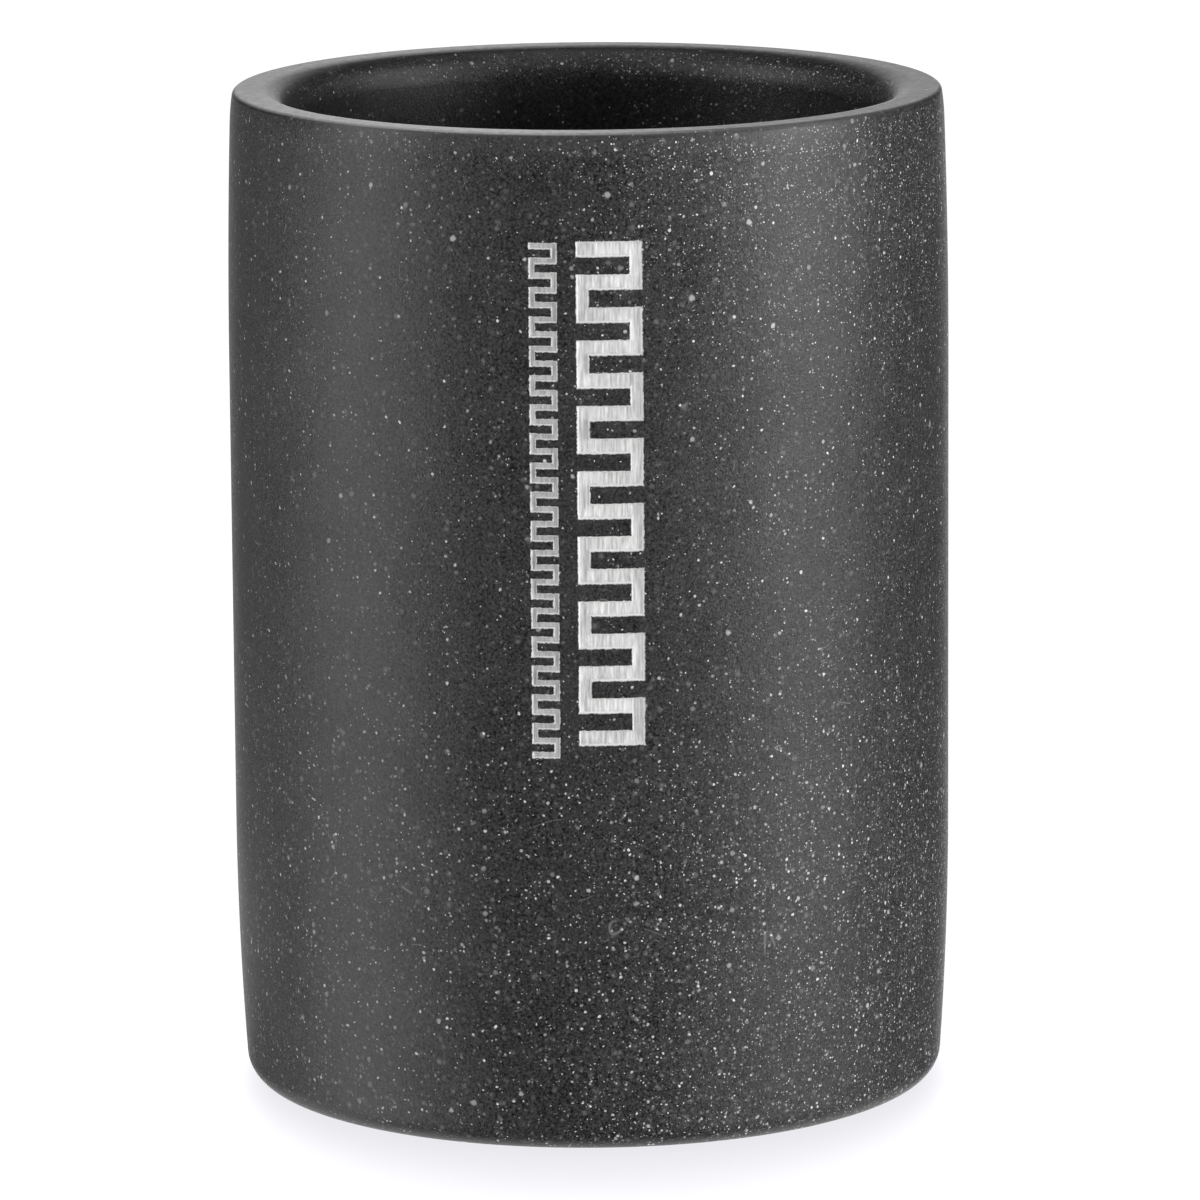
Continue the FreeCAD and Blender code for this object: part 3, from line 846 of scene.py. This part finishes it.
def fill_paint(name, dark, pale, edge):
    m = Nodes(name)
    p = m.mm()
    # drag marks of the cutter under the paint, upright and close together
    drag = m.noise(m.stretch(p, (1.0, 1.0, 0.10)), 4.2, 3.0, 0.6).outputs["Fac"]
    cloud = m.noise(p, 0.45, 2.0, 0.5).outputs["Fac"]
    fleck = m.noise(p, 7.0, 2.0, 0.6).outputs["Fac"]
    fac = m.math("MULTIPLY_ADD", m.math("SUBTRACT", drag, 0.5), 1.5, 0.5)
    fac = m.math("MULTIPLY_ADD", m.math("SUBTRACT", cloud, 0.5), 0.6, fac)
    colour = m.mix(m.remap(fac, 0.15, 0.85), (dark, dark, dark, 1), (pale, pale, pale * 0.995, 1))
    # paint gathers along the walls of the cut, and a painted highlight lightens the stroke's edges
    gather_and_highlight = m.remap(m.math("MULTIPLY_ADD", m.math("SUBTRACT", fleck, 0.5), 0.6, m.attribute("edge")), 0.25, 0.95)
    colour = m.mix(gather_and_highlight, colour, (edge, edge, edge, 1))
    # specks of bare resin where the paint is thin
    colour = m.mix(m.remap(fleck, 0.70, 0.78, 0.0, 0.5), colour, (0.16, 0.16, 0.16, 1))
    m.link(colour, m.bsdf.inputs["Base Color"])
    m.link(m.remap(drag, 0.2, 0.8, 0.62, 0.48), m.bsdf.inputs["Roughness"])
    m.bsdf.inputs["Specular IOR Level"].default_value = 0.4
    n1 = m.bump(drag, 0.35, 0.00012)
    m.link(m.bump(fleck, 0.15, 0.00005, n1), m.bsdf.inputs["Normal"])
    return m.mat


def foam():
    m = Nodes("closed_cell_foam")
    p = m.mm()
    v = m.new("ShaderNodeTexVoronoi", voronoi_dimensions="3D", feature="DISTANCE_TO_EDGE")
    m.link(p, v.inputs["Vector"])
    v.inputs["Scale"].default_value = 2.6
    cells = m.remap(v.outputs["Distance"], 0.0, 0.16, 0.0, 1.0, smooth=True)
    cloud = m.noise(p, 0.12, 3.0, 0.6).outputs["Fac"]
    tone = m.math("MULTIPLY_ADD", cells, -0.45, m.remap(cloud, 0.3, 0.7, 0.55, 1.0))
    m.link(m.mix(tone, (0.016, 0.016, 0.017, 1), (0.062, 0.062, 0.064, 1)), m.bsdf.inputs["Base Color"])
    m.link(m.remap(cells, 0.0, 1.0, 0.7, 0.9), m.bsdf.inputs["Roughness"])
    m.bsdf.inputs["Specular IOR Level"].default_value = 0.3
    inv = m.math("SUBTRACT", 1.0, cells)
    m.link(m.bump(inv, 0.6, 0.0001), m.bsdf.inputs["Normal"])
    return m.mat


def adhesive():
    m = Nodes("adhesive_film")
    p = m.mm()
    blot = m.noise(p, 0.6, 4.0, 0.6).outputs["Fac"]
    m.link(m.mix(m.remap(blot, 0.3, 0.7), (0.62, 0.58, 0.46, 1), (0.80, 0.78, 0.70, 1)), m.bsdf.inputs["Base Color"])
    m.link(m.remap(blot, 0.3, 0.7, 0.25, 0.4), m.bsdf.inputs["Roughness"])
    m.link(m.bump(blot, 0.2, 0.00008), m.bsdf.inputs["Normal"])
    return m.mat


cup.data.materials.append(resin())
# the fine row's paint has darker tones than the bold row's: thinner paint, and partly painted shade of its narrower
# cut
paint_bold.data.materials.append(fill_paint("fill_paint_bold", 0.36, 0.82, 0.88))
paint_fine.data.materials.append(fill_paint("fill_paint_fine", 0.26, 0.56, 0.90))
pad.data.materials.append(foam())
glue.data.materials.append(adhesive())

for piece, node, slot in ((cup, "cup_body", "resin"), (paint_bold, "ornament_bold", "paint"),
                          (paint_fine, "ornament_fine", "paint"), (pad, "base_pad", "foam"),
                          (glue, "pad_adhesive", "adhesive")):
    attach(piece, "root")
    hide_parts(node)

# =====================================================================
# Stage: floor, light, camera
# =====================================================================
floor_me = bpy.data.meshes.new("floor")
s = 8.0
floor_me.from_pydata([(-s, -s, 0), (s, -s, 0), (s, s, 0), (-s, s, 0)], [], [(0, 1, 2, 3)])
floor = bpy.data.objects.new("floor", floor_me)
scene.collection.objects.link(floor)
fm = Nodes("floor_white")
fm.bsdf.inputs["Base Color"].default_value = (0.05, 0.05, 0.05, 1)
fm.bsdf.inputs["Roughness"].default_value = 0.9
fm.bsdf.inputs["Specular IOR Level"].default_value = 0.0
# a lit table: pale lavender close round the base, white from there outwards,
# with the soft shadow drawn out towards the front
fm.bsdf.inputs["Emission Color"].default_value = (1.0, 0.99, 1.038, 1)
fp = fm.mm()
inner = fm.new("ShaderNodeVectorMath", operation="LENGTH")
fm.link(fm.stretch(fp, (1 / 34.5, 1 / 34.5, 0.0)), inner.inputs[0])
outer = fm.new("ShaderNodeVectorMath", operation="LENGTH")
fm.link(fm.stretch(fp, (1 / 38.0, 1 / 60.0, 0.0)), outer.inputs[0])
past = fm.math("MAXIMUM", fm.math("SUBTRACT", inner.outputs["Value"], 1.0), 0.0)
left_over = fm.math("MAXIMUM", fm.math("SUBTRACT", 1.0, outer.outputs["Value"]), 0.0001)
fade = fm.math("POWER", fm.math("DIVIDE", past, fm.math("ADD", past, left_over)), 2.0)
fm.link(fm.remap(fade, 0.0, 1.0, 0.815, 1.03), fm.bsdf.inputs["Emission Strength"])
floor_me.materials.append(fm.mat)
# the floor catches the shadow; what the cup mirrors below the horizon comes
# from the world's low lobes instead
floor.visible_glossy = False
floor.visible_diffuse = False
floor.visible_shadow = False


def around(az, away, z):
    """A place at an azimuth from the front, positive towards +X."""
    a = math.radians(az)
    return (away * math.sin(a), -away * math.cos(a), z)


def softbox(name, at, width, height, radiance, at_point=(0, 0, 0.055)):
    data = bpy.data.lights.new(name, "AREA")
    data.shape = "RECTANGLE"
    data.size, data.size_y = width, height
    data.energy = math.pi * width * height * radiance
    ob = bpy.data.objects.new(name, data)
    ob.location = at
    ob.rotation_mode = "QUATERNION"
    ob.rotation_quaternion = (Vector(at_point) - Vector(at)).to_track_quat("-Z", "Y")
    ob.visible_camera = False
    scene.collection.objects.link(ob)
    return ob


softbox("key_right", around(70, 0.95, 0.14), 0.60, 0.26, 6.1)
softbox("key_right_front", around(60, 0.95, 0.14), 0.40, 0.26, 1.02)
softbox("key_right_high", around(70, 0.95, 0.38), 0.56, 0.62, 0.84)
softbox("fill_left", around(-72, 0.95, 0.28), 0.60, 0.70, 1.92)
softbox("top_left", (-0.5, -0.55, 0.95), 0.7, 0.7, 0.98)
softbox("top_right", (0.5, -0.45, 0.95), 0.6, 0.6, 0.86)
softbox("top", (0.0, 0.15, 1.3), 0.9, 0.9, 0.67)
softbox("high_left", (-0.9, 0.0, 0.75), 0.6, 0.5, 1.92)
softbox("high_right", (0.9, 0.0, 0.75), 0.6, 0.5, 2.95)
softbox("backdrop", (0.0, 1.5, 0.42), 0.75, 0.80, 1.36)
# light thrown up by the table, close beside the base
softbox("table_patch_left", (-0.11, 0.10, -0.002), 0.10, 0.14, 0.15, at_point=(-0.11, 0.10, 1.0))
softbox("table_patch_left_near", (-0.075, 0.07, -0.002), 0.06, 0.10, 0.14, at_point=(-0.075, 0.07, 1.0))
softbox("table_patch_right_near", (0.075, 0.07, -0.002), 0.06, 0.10, 0.049, at_point=(0.075, 0.07, 1.0))
# a broad fill in front, level with the cup and too diffuse to leave a mirror image
softbox("front_soft", around(14, 1.0, 0.06), 1.0, 0.26, 9.5).visible_glossy = False

# low light from the table: azimuth, half width in and out, elevation window, strength
LOBES = [(-78, 10, 38, -50, -30, -12, 2, 2.05),
         (68, 10, 38, -50, -30, -12, 2, 1.46),
         (180, 50, 100, -91, -90, -45, -15, 1.0),
         (-172, 4, 14, -35, -22, -4, 4, 1.0),
         (172, 4, 14, -35, -22, -4, 4, 1.68),
         (-140, 10, 35, -40, -25, 0, 18, 0.197),
         (140, 10, 35, -40, -25, 0, 18, 0.114),
         (-112, 8, 28, -40, -25, 0, 18, 0.134),
         (108, 8, 28, -40, -25, 0, 18, 0.072)]
world = bpy.data.worlds.new("studio")
scene.world = world
world.use_nodes = True
wn = world.node_tree
bg = wn.nodes["Background"]
bg.inputs["Color"].default_value = (1.0, 1.0, 1.0, 1)


def wmath(op, a, b=None):
    n = wn.nodes.new("ShaderNodeMath")
    n.operation = op
    for k, v in enumerate((a, b)):
        if isinstance(v, (int, float)):
            n.inputs[k].default_value = v
        elif v is not None:
            wn.links.new(v, n.inputs[k])
    return n.outputs[0]


def wstep(v, a, b):
    n = wn.nodes.new("ShaderNodeMapRange")
    n.interpolation_type = "SMOOTHSTEP"
    wn.links.new(v, n.inputs["Value"])
    n.inputs["From Min"].default_value, n.inputs["From Max"].default_value = math.radians(a), math.radians(b)
    return n.outputs[0]


way = wn.nodes.new("ShaderNodeTexCoord")
sep = wn.nodes.new("ShaderNodeSeparateXYZ")
wn.links.new(way.outputs["Generated"], sep.inputs[0])
azimuth = wmath("ARCTAN2", sep.outputs[0], wmath("MULTIPLY", sep.outputs[1], -1.0))
elevation = wmath("ARCSINE", sep.outputs[2])
glow = None
for az, w_in, w_out, lo_out, lo_in, hi_in, hi_out, strength in LOBES:
    off = wmath("ADD", wmath("SUBTRACT", azimuth, math.radians(az)), 3 * math.pi)
    off = wmath("ABSOLUTE", wmath("SUBTRACT", wmath("MODULO", off, 2 * math.pi), math.pi))
    lobe = wmath("MULTIPLY", wstep(off, w_out, w_in),
                 wmath("MULTIPLY", wstep(elevation, lo_out, lo_in), wstep(elevation, hi_out, hi_in)))
    lobe = wmath("MULTIPLY", lobe, strength)
    glow = lobe if glow is None else wmath("ADD", glow, lobe)
ray = wn.nodes.new("ShaderNodeLightPath")
seen = wmath("MULTIPLY", ray.outputs["Is Camera Ray"], 1.2)
wn.links.new(wmath("MAXIMUM", glow, seen), bg.inputs["Strength"])

e = math.radians(10.908)
roll = math.radians(-0.42)
dist_c = 0.90045
fw = Vector((0, math.cos(e), -math.sin(e)))
right = Vector((1, 0, 0))
up = right.cross(fw)
right2 = right * math.cos(roll) + up * math.sin(roll)
up2 = -right * math.sin(roll) + up * math.cos(roll)
cam_data = bpy.data.cameras.new("camera")
cam_data.sensor_width = 36.0
cam_data.lens = 8469.27 / 1200.0 * 36.0
cam_data.clip_start, cam_data.clip_end = 0.05, 60.0
cam = bpy.data.objects.new("camera", cam_data)
scene.collection.objects.link(cam)
loc = Vector((0.000988, -dist_c * math.cos(e), 0.05144 + dist_c * math.sin(e)))
rot = Matrix((right2, up2, -fw)).transposed()
cam.matrix_world = Matrix.Translation(loc) @ rot.to_4x4()
scene.camera = cam

scene.view_settings.view_transform = "Standard"
scene.view_settings.look = "None"
scene.view_settings.exposure = 0.0
scene.view_settings.gamma = 1.0
